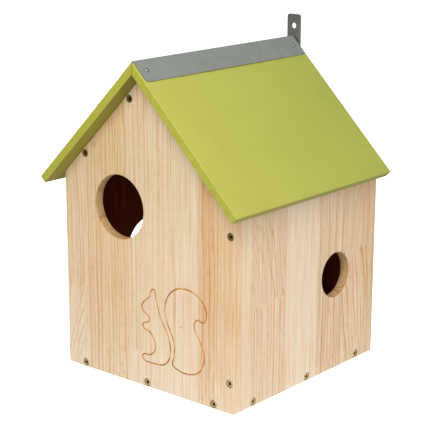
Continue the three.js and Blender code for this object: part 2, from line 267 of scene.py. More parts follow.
def pine(name, strips, start, across, along, inward, face, seams=(), bands=(), knots=(),
         foot_painted_light=0.25, eave_painted_shade=0.0, bored=(1.0, 1.0, 1.0)):
    """Edge-glued pine, measured in millimetres. strips is a list of (width, growth), from start across
    the board, or of (width, growth, growth below the finger joint, the joint's height). face is how
    far the outer face is from the origin. seams is a list of (place across, strength). bands of darker
    heartwood are (place across, half width, strength) and fade towards the foot. knots is a list of
    (place, radius). The two arguments after knots say how far painted light from below pales the foot
    of the board and how far painted shade under the eaves darkens and warms its top. bored is
    multiplied into the colour, for a hole's wall."""
    strips = [strip if len(strip) == 4 else (*strip, strip[1], 0) for strip in strips]
    s = Shader(name)
    point = s.place()
    u = s.dot(point, across)
    v = s.dot(point, along)
    w = s.plus(s.dot(point, inward), face)
    total = sum(strip[0] for strip in strips)
    position = s.over(s.minus(u, start), total)

    def lookup(values):
        stops, reached = [], 0
        for strip, value in zip(strips, values):
            stops.append((reached / total, value))
            reached += strip[0]
        return s.ramp(position, stops, "CONSTANT")

    def grown(what):
        """One of the growth's values at each point: as a colour, and the colour's fourth value."""
        low = lookup([what(strip[2]) for strip in strips])
        high = lookup([what(strip[1]) for strip in strips])
        alpha = s.node("Mix", {0: above, 2: low.outputs[1], 3: high.outputs[1]}).outputs[0]
        return s.mix(above, low.outputs[0], high.outputs[0]), alpha

    def drawn_out(width, length, offset=0.0):
        """Coordinates for a noise whose cells are width across the grain and length along it."""
        return s.combine(
            s.over(s.plus(u, shift), width), s.over(w, width), s.plus(s.over(v, length), offset))

    def beside(place):
        return s.maths("ABSOLUTE", s.minus(u, place))

    teeth = s.times(s.maths("PINGPONG", s.plus(u, REACH), FINGER), FINGER_LENGTH / FINGER)
    joint = s.centred(lookup([unit(strip[3]) for strip in strips]).outputs[0], 2 * REACH)
    above = s.maths("GREATER_THAN", s.minus(v, teeth), joint)
    tone, _ = grown(lambda growth: growth.tone)
    rings, contrast = grown(lambda growth: growth.rings)
    lean = s.centred(grown(lambda growth: growth.lean)[0], 2 * STEEPEST_LEAN)
    parts = s.node("SeparateColor", {0: rings}).outputs
    heart = s.centred(parts[0], 2 * REACH)
    behind = s.times(parts[1], DEEPEST_HEART)
    spacing = s.times(parts[2], WIDEST_RING)
    shift = s.times(heart, STRIP_SHIFT)

    # distance from the heart, bent a little along the tree, counted in years
    bend = s.centred(s.noise(drawn_out(50, 160), detail=1.5), 12.0)
    ripple = s.centred(s.noise(drawn_out(6, 40)), 2.2)
    crowd = s.centred(s.noise(drawn_out(14, 320, 1.9), detail=1.0), 9.0)
    off = s.minus(u, heart)
    deep = s.plus(s.plus(behind, w), s.times(lean, v))
    radius = s.maths("SQRT", s.plus(s.times(off, off), s.times(deep, deep)))
    year = s.over(s.plus(s.plus(radius, bend), s.plus(ripple, crowd)), spacing)
    good_year = s.noise(
        s.combine(s.times(s.maths("FLOOR", year), YEAR_SHIFT), shift, s.over(v, 260)), detail=0.0)
    late = s.times(s.ramp(s.maths("FRACT", year), RING).outputs[0],
                   s.spread(good_year, 0.3, 0.7, 0.05, 1.0))
    late = s.clamp(s.times(late, s.times(contrast, 2.0)))

    fibre = s.noise(drawn_out(0.8, 30), detail=3.0, roughness=0.6)
    hue = s.noise(drawn_out(9, 170))
    streak = s.noise(drawn_out(2.4, 75, 7.1))
    pale = s.noise(drawn_out(5, 150, 3.3), detail=1.0)
    ducts = s.noise(drawn_out(1.1, 10, 5.7), detail=1.0)
    # The foot of the board, up to 130 mm, where painted light from below pales it
    foot_light_mask = s.maths("POWER", s.spread(v, 0.0, 130.0, 1.0, 0.0), 1.7)

    colour = s.mix(s.spread(hue, 0.38, 0.62, 0.0, 1.0), s.tint(tone, ROSY), s.tint(tone, SALLOW))
    colour = s.mix(s.spread(pale, 0.54, 0.70, 0.0, 0.30), colour, SAPWOOD)
    # Painted light: the foot of the board is paled
    colour = s.mix(s.times(foot_light_mask, foot_painted_light), colour, FOOT_PAINTED_LIGHT)
    # Painted shade under the eaves: the top of the board is darkened and warmed
    colour = s.tint(colour, EAVE_PAINTED_SHADE, s.spread(v, 160.0, 240.0, 0.0, eave_painted_shade))
    colour = s.tint(colour, LATE_WOOD, late)
    colour = s.tint(colour, STREAK, s.spread(streak, 0.52, 0.68, 0.0, 0.65))
    colour = s.tint(colour, FIBRE, s.spread(fibre, 0.35, 0.65, 0.0, 0.40))
    colour = s.tint(colour, RESIN_DUCT, s.times(s.spread(ducts, 0.57, 0.68, 0.0, 0.7), contrast))
    for place, strength in seams:
        colour = s.tint(colour, GLUE_LINE, s.spread(beside(place), 0.3, 1.1, strength, 0.0))
    for place, half, strength in bands:
        inside = s.spread(beside(place), half * 0.3, half, strength, 0.0)
        colour = s.tint(colour, HEARTWOOD, s.times(inside, s.spread(v, 30.0, 150.0, 0.25, 1.0)))
    for place, size in knots:
        colour = knot(s, point, colour, place, size)
    height = s.plus(s.times(fibre, 0.6), s.times(late, 0.5))
    return s.finish(
        s.tint(colour, bored), s.spread(late, 0.0, 1.0, 0.62, 0.5), 0.35, height, 0.25, 0.15 * MM)


def knot(s, point, colour, place, size):
    """A small round pin knot with a dark heart."""
    away = s.node("VectorMath", {0: point, 1: place}, operation="DISTANCE").outputs["Value"]
    wobble = s.times(s.noise(point, 0.9), size * 0.8)
    away = s.over(s.plus(away, s.minus(wobble, size * 0.4)), size)
    inside = s.ramp(away, [(0.0, 0.8), (0.45, 0.7), (0.8, 0.3), (1.0, 0.0)]).outputs[0]
    return s.mix(inside, colour, srgb(160, 116, 66))


# ---- other materials ----

def scorched():
    """The floor and walls of the engraved groove."""
    s = Shader("scorched_groove")
    point = s.place()
    patch = s.noise(point, 0.12, 3.0)
    grain = s.noise(point, 1.6)
    colour = s.mix(s.spread(patch, 0.35, 0.65, 0.0, 1.0), srgb(176, 118, 58), srgb(228, 176, 100))
    colour = s.mix(s.spread(grain, 0.45, 0.7, 0.0, 0.30), colour, srgb(128, 78, 34))
    return s.finish(colour, 0.85, 0.15, grain, 0.3, 0.1 * MM)


def crushed_ring_shade():
    """Wood crushed by a screw's head, coloured dark: painted shade round the head."""
    s = Shader("crushed_wood_painted_shade")
    grain = s.noise(s.place(), 1.4)
    # Painted shade: a dark ring round each screw's head
    colour = s.mix(grain, srgb(104, 84, 46), srgb(158, 130, 80))
    return s.finish(colour, 0.8, 0.2, grain, 0.4, 0.1 * MM)


def inner_painted_shade():
    """The inner faces, a dark warm brown that paints the shade inside the box, with the grain showing
    through.
    """
    s = Shader("inner_faces_painted_shade")
    grain = s.noise(s.stretched(s.place(), 0.4, 0.4, 0.012), detail=3.0)
    # Painted shade: the inside is coloured as dark as it looks in the box's shade
    colour = s.mix(grain, srgb(104, 38, 14), srgb(146, 66, 32))
    return s.finish(colour, 0.85, 0.1, grain, 0.3, 0.2 * MM)


def painted():
    """Satin lime-green paint over pine. Faint grain and brush marks run along the boards, and the sawn
    ends have soaked up more of it. Painted light makes it paler at the front and greener at the back,
    and painted shade darkens the undersides, most of all near the ridge."""
    s = Shader("green_paint")
    point = s.place()
    normal = s.node("TexCoord").outputs["Normal"]
    grain = s.noise(s.stretched(point, 0.30, 0.012, 0.30), detail=3.0, roughness=0.6)
    brush = s.noise(s.stretched(point, 1.6, 0.02, 1.6))
    cloud = s.noise(point, 0.012)
    speckle = s.noise(point, 0.30)
    end = s.spread(s.maths("ABSOLUTE", s.dot(normal, Y)), 0.7, 0.95, 0.0, 1.0)
    # Mask for painted shade on the undersides
    underside_painted_shade = s.spread(s.dot(normal, -Z), 0.3, 0.6, 0.0, 1.0)
    # Mask for painted light: 0 at the roof's front end and 1 at its back
    front_to_back_painted_light = s.spread(s.dot(point, Y), -150.0, 130.0, 0.0, 1.0)
    # Mask for more painted shade near the ridge
    ridge_painted_shade = s.spread(s.dot(point, Z), 300.0, 370.0, 0.0, 1.0)

    colour = s.mix(s.spread(cloud, 0.3, 0.7, 0.0, 1.0), srgb(163, 163, 76), srgb(156, 157, 69))
    colour = s.mix(s.spread(grain, 0.35, 0.7, 0.0, 0.2), colour, srgb(151, 153, 66))
    sawn = s.mix(s.spread(speckle, 0.30, 0.70, 0.0, 1.0), srgb(150, 151, 49), srgb(166, 168, 66))
    colour = s.mix(end, colour, sawn)
    # Painted light: paler at the front end, darker and greener at the back
    colour = s.mix(front_to_back_painted_light, s.tint(colour, (1.12, 1.10, 1.02)), s.tint(colour, (0.95, 0.99, 0.88)))
    # Painted shade on the undersides, darker still near the ridge
    colour = s.tint(colour, (0.70, 0.69, 0.45), underside_painted_shade)
    colour = s.tint(colour, (0.74, 0.74, 0.62), s.times(underside_painted_shade, ridge_painted_shade))
    height = s.plus(s.times(grain, 0.8), s.times(brush, 0.3))
    height = s.plus(height, s.times(s.times(speckle, end), 1.5))
    return s.finish(colour, s.spread(brush, 0.3, 0.7, 0.46, 0.54), 0.35, height, 0.16, 0.25 * MM)


def metal(name, dark, light, roughness, spangle=0.0):
    """A dull plated metal with rolling streaks, blotches and zinc spangle."""
    s = Shader(name)
    point = s.place()
    rolled = s.noise(s.stretched(point, 1.2, 0.03, 1.2), detail=3.0)
    blotch = s.noise(point, 0.05, 3.0)
    crystals = s.node("TexVoronoi", {"Vector": point, "Scale": 0.28}).outputs["Color"]
    crystal = s.node("SeparateColor", {0: crystals}).outputs[0]
    amount = s.plus(s.times(rolled, 0.3), s.times(blotch, 0.7))
    amount = s.plus(amount, s.centred(crystal, spangle))
    s.surface.inputs["Metallic"].default_value = 1.0
    polish = s.spread(amount, 0.2, 0.8, roughness + 0.08, roughness - 0.08)
    return s.finish(s.mix(s.clamp(amount), dark, light), polish, 0.5, amount, 0.12, 0.1 * MM)


# ---- mesh building ----

def matrix_along(axis, place):
    """Local +Z goes to axis, and the origin to place."""
    turn = axis.to_track_quat("Z", "Y").to_matrix().to_4x4()
    return Matrix.Translation(place) @ turn


def piece_of(name, bm, *materials):
    """An object in the scene with the mesh built so far, which is freed."""
    mesh = bpy.data.meshes.new(name)
    bm.to_mesh(mesh)
    bm.free()
    for material in materials:
        mesh.materials.append(material)
    made = bpy.data.objects.new(name, mesh)
    bpy.context.scene.collection.objects.link(made)
    return made


def bridge(bm, one, other):
    """The faces between two closed rings of corners. A ring of one corner is a point."""
    count = max(len(one), len(other))
    faces = []
    for i in range(count):
        j = (i + 1) % count
        corners = [ring[k % len(ring)] for ring, k in ((one, i), (one, j), (other, j), (other, i))]
        faces.append(bm.faces.new(list(dict.fromkeys(corners))))
    return faces


def smoothed(bm, faces, material):
    """Makes the faces smooth and look outwards, and gives them the material of that number."""
    for face in faces:
        face.smooth = True
        face.material_index = material
    bmesh.ops.recalc_face_normals(bm, faces=faces)


def prism(bm, outline, low, high, place, rounding, segments=3):
    """A solid with an outline in u and v, from low to high in w, and every edge rounded."""
    rings = [[bm.verts.new(place(u, v, w)) for u, v in outline] for w in (low, high)]
    for ring in rings:
        bm.faces.new(ring)
    bridge(bm, *rings)
    bmesh.ops.recalc_face_normals(bm, faces=bm.faces[:])
    edges = [e for e in bm.edges if e.calc_face_angle(0) > math.radians(20)]
    rounded = bmesh.ops.bevel(
        bm, geom=edges, offset=rounding, segments=segments, profile=0.5, affect="EDGES")
    for face in rounded["faces"]:
        face.smooth = True


def turned(bm, profile, place, segments=48, material=0, twist=None):
    """A solid of revolution about place's local Z. The profile is a list of (radius, height) whose
    first and last radius are 0. twist gives the radius from (radius, height, angle), for a thread."""
    rings = []
    for radius, height in profile:
        if radius == 0:
            rings.append([bm.verts.new(place @ Vector((0, 0, height)))])
            continue
        ring = []
        for i in range(segments):
            angle = math.tau * i / segments
            reach = twist(radius, height, angle) if twist else radius
            corner = Vector((reach * math.cos(angle), reach * math.sin(angle), height))
            ring.append(bm.verts.new(place @ corner))
        rings.append(ring)
    smoothed(bm, [f for one, other in zip(rings, rings[1:]) for f in bridge(bm, one, other)], material)


def round_hole(bm, centre, across, diameter, low, high, rounding=HOLE_ROUNDING, segments=128):
    """A cutter along X or Y through a wall from low to high, which leaves rounded rims."""
    steps = 4
    quarter = [math.pi / 2 * i / steps for i in range(steps + 1)]
    rim = [(diameter / 2 + rounding * (1 - math.cos(a)), low + rounding * (1 - math.sin(a)))
           for a in quarter]
    far = [(r, low + high - h) for r, h in rim]
    profile = [(0, low - PAST), (rim[-1][0], low - PAST), *rim[::-1], *far, (rim[-1][0], high + PAST),
               (0, high + PAST)]
    if across == X:
        place = Matrix.Translation((0, centre.y, centre.z)) @ Matrix.Rotation(math.pi / 2, 4, "Y")
    else:
        place = Matrix.Translation((centre.x, 0, centre.z)) @ Matrix.Rotation(-math.pi / 2, 4, "X")
    turned(bm, profile, place, segments)


def socket_profile(head, shank, length, pressed_in=0.0):
    """A countersunk hole below 0, for a screw whose head is at the surface. pressed_in is how much
    wider than the head the wood is pressed in."""
    rim, dish, cone = head + FIT + pressed_in, -0.05 * MM, -0.5 * MM
    return [(0, PAST), (rim, PAST), (rim, dish), (head + FIT, cone), (shank + FIT, cone - head + shank),
            (shank + FIT, -length), (0, -length - MM)]


def carve(piece, cutter):
    """Cuts cutter out of piece, with the cutter's material on the cut faces, and deletes the cutter."""
    cut = piece.modifiers.new("cut", "BOOLEAN")
    cut.operation = "DIFFERENCE"
    cut.solver = "EXACT"
    cut.material_mode = "TRANSFER"
    cut.object = cutter
    graph = bpy.context.evaluated_depsgraph_get()
    carved = bpy.data.meshes.new_from_object(piece.evaluated_get(graph))
    piece.modifiers.clear()
    piece.data = carved
    bpy.data.objects.remove(cutter)


# ---- places and bodies read from the frame ----

BODY_OF = {
    node: body for body, nodes in frame["record"]["behaviour"]["bodies"].items() for node in nodes
}
FRONT_LOW, FRONT_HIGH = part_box("front_panel")
BACK_LOW, BACK_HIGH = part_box("back_panel")
SIDE_LOW, SIDE_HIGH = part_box("right_side_panel")
DOOR_LOW, DOOR_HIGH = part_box("cleaning_door")
FLOOR_LOW, FLOOR_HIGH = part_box("floor_panel")
APEX = FRONT_HIGH.z
HALF = FRONT_HIGH.x
SHOULDER = APEX - HALF * math.tan(PITCH)
BOARD = FRONT_HIGH.y - FRONT_LOW.y
WIDE, DEEP = HALF / MM, BACK_HIGH.y / MM    # from the middle to the walls' outer faces, in millimetres
OPENINGS = {
    opening["name"]: (Vector(opening["box_m"][0]) + Vector(opening["box_m"][1])) / 2
    for opening in frame["record"]["physics"]["openings"]
}


def stand_in(piece, node):
    """Puts the piece in the CAD node's place, on the node's body."""
    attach(piece, BODY_OF[node])
    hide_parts(node)


def driven(node, outwards, length=None):
    """A fastener's matrix: local +Z points outwards, and the origin is where its axis leaves the work,
    one length back from its tip, which is the box's corner furthest from outwards."""
    low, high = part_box(node)
    tip = Vector(
        (lo if d > 0.01 else hi if d < -0.01 else (lo + hi) / 2)
        for lo, hi, d in zip(low, high, outwards)
    )
    return matrix_along(outwards, tip + outwards * (length or max(high - low)))


def slope_normal(side):
    """Out of the roof's slope on the right, for side 1, or on the left, for side -1."""
    return Vector((side * math.sin(PITCH), 0, math.cos(PITCH)))


FASTENERS = {}
for node_name in frame["nodes"]:
    slope = slope_normal(1 if "right" in node_name else -1)
    for prefix, facing, length in (
            ("front_screw", -Y, None), ("back_screw", Y, None), ("hanger_screw", Y, None),
            ("side_screw", X, None), ("roof_screw", -slope, ROOF_SCREW[2]),
            ("cap_nail", slope, NAIL_LENGTH)):
        if node_name.startswith(prefix):
            FASTENERS[node_name] = driven(node_name, facing, length)


# ---- engraving ----

# A sitting squirrel in two closed lines, drawn on a grid of 100 by 100
SQUIRREL_BODY = [
    (1, 65), (4, 71), (9.5, 76), (14, 80), (15.6, 85.5), (17.5, 88.8), (20.5, 88.8), (22.2, 85.5),
    (23, 79), (25.3, 72), (27.5, 64), (31.5, 55), (38, 45), (43, 34), (45, 21), (42, 9), (34, 2),
    (19, 0), (4.5, 0.8), (1.5, 4.5), (4.5, 8.5), (12, 9), (19, 13), (22, 20), (20.5, 28), (17, 34),
    (12, 37.8), (5.5, 39), (2.3, 42.5), (5, 46.3), (11, 48.5), (13, 52.5), (10, 57), (4, 60),
]
SQUIRREL_TAIL = [
    (48, 6), (57, 1), (72, 0), (86, 5), (94, 16), (95, 30), (89, 43), (82, 54), (81, 63),
    (86, 67.5), (92, 65.5), (96.5, 68), (98.5, 76), (95, 87), (86, 95), (73, 99), (58, 98),
    (46, 91), (38.5, 79), (37, 66), (40.5, 53), (47, 41), (51, 29), (50.5, 16),
]
ENGRAVING_CORNER = Vector((-9, 31.5)) * MM
ENGRAVING_SCALE = 1.01 * MM


def rounded_loop(points, steps):
    """A closed centripetal Catmull-Rom curve through the points, as in the CAD source."""
    def between(one, other, start, end, t):
        return (one * (end - t) + other * (t - start)) / (end - start)

    made = []
    for i in range(len(points)):
        corners = [Vector(points[(i + k) % len(points)]) for k in (-1, 0, 1, 2)]
        at = [0.0]
        for one, other in zip(corners, corners[1:]):
            at.append(at[-1] + (other - one).length ** 0.5)
        for step in range(steps):
            t = at[1] + (at[2] - at[1]) * step / steps
            first = [between(corners[k], corners[k + 1], at[k], at[k + 1], t) for k in range(3)]
            second = [between(first[k], first[k + 1], at[k], at[k + 2], t) for k in range(2)]
            made.append(between(*second, at[1], at[2], t))
    return made


def groove(bm, points, material):
    """A round-bottomed cutter that follows the outline on the front panel's face."""
    path = [ENGRAVING_CORNER + point * ENGRAVING_SCALE for point in rounded_loop(points, 6)]
    sides = 10
    rings = []
    for i, here in enumerate(path):
        ahead = (path[(i + 1) % len(path)] - path[i - 1]).normalized()
        across = Vector((-ahead.y, ahead.x))
        ring = []
        for k in range(sides):
            angle = math.tau * (k + 0.5) / sides
            flat = here + across * (GROOVE_RADIUS * math.cos(angle))
            ring.append(bm.verts.new((flat.x, FRONT_LOW.y + GROOVE_RADIUS * math.sin(angle), flat.y)))
        rings.append(ring)
    following = rings[1:] + rings[:1]
    smoothed(bm, [f for one, other in zip(rings, following) for f in bridge(bm, one, other)], material)


# ---- boards ----

# Where the places (u, v, w) of a prism lie, for an outline seen from the front, a side or above

def from_front(u, v, w):
    return Vector((u, w, v))


def from_side(u, v, w):
    return Vector((w, u, v))


def from_above(u, v, w):
    return Vector((u, v, w))


def rectangle(left, right, bottom, top):
    return [(left, bottom), (right, bottom), (right, top), (left, top)]


def board(node, outline, low, high, place, materials, inner_normal):
    """A board with rounded arrises. Its flat face along inner_normal has the second material."""
    bm = bmesh.new()
    prism(bm, outline, low, high, place, ARRIS)
    bm.normal_update()
    inmost = max(vertex.co.dot(inner_normal) for vertex in bm.verts)
    for face in bm.faces:
        flat = face.normal.dot(inner_normal) > 0.99
        if flat and inmost - face.calc_center_median().dot(inner_normal) < 0.01 * MM:
            face.material_index = 1
    return piece_of("fine_" + node, bm, *materials)


def cut_sockets(bm, kind, nodes, pressed_in=0.0, material=0):
    """A cutter for each of the nodes, which are screws of one kind."""
    for node in nodes:
        turned(bm, socket_profile(*kind, pressed_in), FASTENERS[node], BORE_SIDES, material)


def bore(bm, place, radius, low, high):
    """A plain round cutter from low to high along local Z."""
    turned(bm, [(0, low), (radius, low), (radius, high), (0, high)], place, BORE_SIDES)


def middle_of(node):
    """The middle of a CAD node's box."""
    low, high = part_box(node)
    return (low + high) / 2


def starting(*prefixes):
    """The fasteners whose names start with any of the prefixes."""
    return [node for node in FASTENERS if node.startswith(prefixes)]


inner = inner_painted_shade()
burnt = scorched()
crushed_and_shaded = crushed_ring_shade()

FRONT_STRIPS = dict(
    strips=[
        (37, Growth((229, 205, 174), -380, 120, 5.2, 0.0, 0.55),
         Growth((230, 209, 180), -20, 120, 3.5, 0.2, 0.4), 98),
        (31, Growth((227, 199, 162), -300, 60, 5.6, 0.0, 0.7)),
        (32, Growth((228, 200, 162), 330, 60, 5.0, 0.01, 0.7)),
        (29, Growth((229, 206, 174), -260, 50, 5.4, 0.0, 0.55),
         Growth((233, 212, 185), 100, 80, 5, 0, 0.4), 40),
        (39, Growth((231, 210, 180), 240, 80, 6.4, 0.0, 0.6)),
        (41, Growth((230, 209, 180), -300, 90, 6.0, 0.0, 0.3)),
        (27, Growth((226, 195, 158), 380, 60, 5.4, 0.0, 0.75)),
        (24, Growth((226, 194, 157), 380, 60, 5.4, 0.0, 0.3)),
    ],
    start=-WIDE, across=X, along=Z, inward=Y, face=DEEP,
    seams=[(-93, 0.45), (-1.5, 0.15), (79, 0.25)],
    bands=[(91, 14, 0.7)],
    knots=[((52.3, -DEEP, 85.7), 1.5)],
    # Painted light on the boards' foot and painted shade on their top, under the eaves
    foot_painted_light=0.5, eave_painted_shade=1.0,
)
RIGHT_STRIPS = dict(
    strips=[
        (29, Growth((228, 206, 177), -20, 90, 6, 0.0, 0.35)),
        (64, Growth((222, 196, 167), -158, 120, 3.4, 0.14, 0.42),
         Growth((225, 202, 174), -300, 60, 5.8, 0, 0.55), 113),
        (59, Growth((229, 211, 187), 300, 95, 4.5, 0.0, 0.22)),
        (51.5, Growth((220, 195, 166), 250, 20, 6.4, 0.0, 0.8)),
        (68.5, Growth((217, 192, 160), 101, 4, 4.0, 0.10, 0.5),
         Growth((225, 201, 171), -100, 150, 5.6, 0.12, 0.85), 139),
    ],
    start=-DEEP, across=Y, along=Z, inward=-X, face=WIDE,
    seams=[(-43, 0.15), (67.5, 0.4)],
    bands=[(122, 20, 0.7)],
    knots=[((WIDE, -96, 112.7), 1.2), ((WIDE, -34, 172.3), 1.0)],
)
front_wood = pine("pine_front", **FRONT_STRIPS)
front_bore = pine("pine_front_bore", **FRONT_STRIPS, bored=(0.95, 0.82, 0.66))
right_wood = pine("pine_right", **RIGHT_STRIPS)
right_bore = pine("pine_right_bore", **RIGHT_STRIPS, bored=(0.80, 0.68, 0.49))


def plain_strips(first_joint, second_joint):
    """The boards out of the best view: six strips, two of them with a finger joint."""
    return [
        (45, Growth((222, 194, 157), 60, 60, 6, 0.02, 0.5),
         Growth((217, 188, 155), -300, 80, 5, 0, 0.3), first_joint),
        (43, Growth((224, 198, 162), -300, 40, 5, 0.0, 0.4)),
        (43, Growth((219, 187, 148), 350, 30, 4.5, 0.0, 0.6)),
        (47, Growth((227, 206, 175), -80, 150, 7, 0.0, 0.2)),
        (44, Growth((221, 191, 153), 60, 6, 5, 0.08, 0.5),
         Growth((223, 196, 160), 380, 40, 4.5, 0, 0.5), second_joint),
        (60, Growth((223, 197, 163), -360, 50, 5, 0.0, 0.45)),
    ]


back_wood = pine("pine_back", plain_strips(210, 120), -WIDE, -X, Z, -Y, DEEP)
door_wood = pine("pine_door", plain_strips(150, 70), -DEEP, -Y, Z, X, WIDE)
floor_wood = pine("pine_floor", plain_strips(-20, 60), -WIDE, X, Y, Z, 0)
batten_woods = {
    side: pine(f"pine_batten_{word}", plain_strips(-40, 40), -20,
               Vector((side, 0, -1)).normalized(), Y, Vector((-side, 0, -1)).normalized(), 260)
    for side, word in ((-1, "left"), (1, "right"))
}

GABLE = [(-HALF, 0), (HALF, 0), (HALF, SHOULDER), (0, APEX), (-HALF, SHOULDER)]


def pin_hole(bm, node, outwards, surface):
    """The blind hole for a door pin in a face that looks along outwards at y = surface."""
    low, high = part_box(node)
    tip = low.y if outwards.y > 0 else high.y
    place = middle_of(node)
    place.y = surface
    bore(bm, matrix_along(outwards, place), PIN_RADIUS + FIT, -abs(surface - tip) - FIT, PAST)


def front_panel():
    made = board("front_panel", GABLE, FRONT_LOW.y, FRONT_HIGH.y, from_front, (front_wood, inner), Y)
    bm = bmesh.new()
    round_hole(bm, OPENINGS["front_entrance"], Y, FRONT_HOLE, FRONT_LOW.y, FRONT_HIGH.y)
    cut_sockets(bm, WOOD_SCREW, starting("front_screw"), CRUSHED, 2)
    pin_hole(bm, "door_pin_front", Y, FRONT_HIGH.y)
    _, screw_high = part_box("turn_button_screw")
    place = Vector((FRONT_LOW.x, *middle_of("turn_button_screw").yz))
    bore(bm, matrix_along(-X, place), BUTTON_SCREW[1] + FIT, place.x - screw_high.x - FIT, PAST)
    groove(bm, SQUIRREL_BODY, 1)
    groove(bm, SQUIRREL_TAIL, 1)
    carve(made, piece_of("front_cutter", bm, front_bore, burnt, crushed_and_shaded))
    stand_in(made, "front_panel")


def back_panel():
    made = board("back_panel", GABLE, BACK_LOW.y, BACK_HIGH.y, from_front, (back_wood, inner), -Y)
    bm = bmesh.new()
    cut_sockets(bm, WOOD_SCREW, starting("back_screw"), CRUSHED, 1)
    cut_sockets(bm, STRIP_SCREW, starting("hanger_screw"))
    pin_hole(bm, "door_pin_back", -Y, BACK_LOW.y)
    carve(made, piece_of("back_cutter", bm, back_wood, crushed_and_shaded))
    stand_in(made, "back_panel")


def right_side_panel():
    made = board(
        "right_side_panel",
        [(SIDE_LOW.x, 0), (SIDE_HIGH.x, 0), (SIDE_HIGH.x, SHOULDER), (SIDE_LOW.x, SHOULDER + BOARD)],
        SIDE_LOW.y, SIDE_HIGH.y, from_front, (right_wood, inner), -X)
    bm = bmesh.new()
    round_hole(bm, OPENINGS["side_entrance"], X, SIDE_HOLE, SIDE_LOW.x, SIDE_HIGH.x, segments=96)
    cut_sockets(bm, WOOD_SCREW, starting("side_screw"), CRUSHED, 1)
    carve(made, piece_of("side_cutter", bm, right_bore, crushed_and_shaded))
    stand_in(made, "right_side_panel")


def cleaning_door():
    made = board(
        "cleaning_door", rectangle(DOOR_LOW.y, DOOR_HIGH.y, DOOR_LOW.z, DOOR_HIGH.z),
        DOOR_LOW.x, DOOR_HIGH.x, from_side, (door_wood, inner), X)
    bm = bmesh.new()
    round_hole(bm, OPENINGS["door_entrance"], X, DOOR_HOLE, DOOR_LOW.x, DOOR_HIGH.x)
    pin_hole(bm, "door_pin_front", -Y, DOOR_LOW.y)
    pin_hole(bm, "door_pin_back", Y, DOOR_HIGH.y)
    carve(made, piece_of("door_cutter", bm, door_wood))
    stand_in(made, "cleaning_door")


def floor_panel():
    made = board(
        "floor_panel", rectangle(FLOOR_LOW.x, FLOOR_HIGH.x, FLOOR_LOW.y, FLOOR_HIGH.y),
        FLOOR_LOW.z, FLOOR_HIGH.z, from_above, (floor_wood, inner), Z)
    stand_in(made, "floor_panel")


def tilted_outline(node, side, thick):
    """A roof or inner board's end in X and Z, from its box: up its ridge end, then down its eave end."""
    low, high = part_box(node)
    lean = thick * math.sin(PITCH)
    if node.startswith("roof_batten"):
        near, far = (low.x, high.x) if side > 0 else (high.x, low.x)
        return [(near, high.z - lean), (near + side * lean, high.z), (far, low.z + lean),
                (far - side * lean, low.z)]
    far = high.x if side > 0 else low.x
    near = side * MITRE_GAP
    rise = thick / math.cos(PITCH)
    return [(near, high.z - rise - MITRE_GAP), (near, high.z - MITRE_GAP), (far, low.z + lean),
            (far - side * lean, low.z)]


def roof_board(side, word):
    node = "roof_" + word
    low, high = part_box(node)
    bm = bmesh.new()
    prism(bm, tilted_outline(node, side, ROOF_BOARD), low.y, high.y, from_front, PAINTED_ARRIS, 4)
    made = piece_of("fine_" + node, bm, green)
    bm = bmesh.new()
    for screw in starting("roof_screw_" + word):
        bore(bm, FASTENERS[screw], ROOF_SCREW[1] + FIT, -ROOF_SCREW[2] - FIT, -BOARD / 2)
    for nail in starting("cap_nail_" + word):
        bore(bm, FASTENERS[nail], NAIL_SHANK + FIT, -NAIL_LENGTH - FIT, SHEET)
    carve(made, piece_of("roof_cutter", bm, green))
    stand_in(made, node)


def roof_batten(side, word, wood):
    node = "roof_batten_" + word
    low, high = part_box(node)
    bm = bmesh.new()
    prism(bm, tilted_outline(node, side, BOARD), low.y, high.y, from_front, ARRIS)
    made = piece_of("fine_" + node, bm, wood)
    bm = bmesh.new()
    cut_sockets(bm, ROOF_SCREW, starting("roof_screw_" + word))
    carve(made, piece_of("batten_cutter", bm, wood))
    stand_in(made, node)


# ---- sheet metal ----

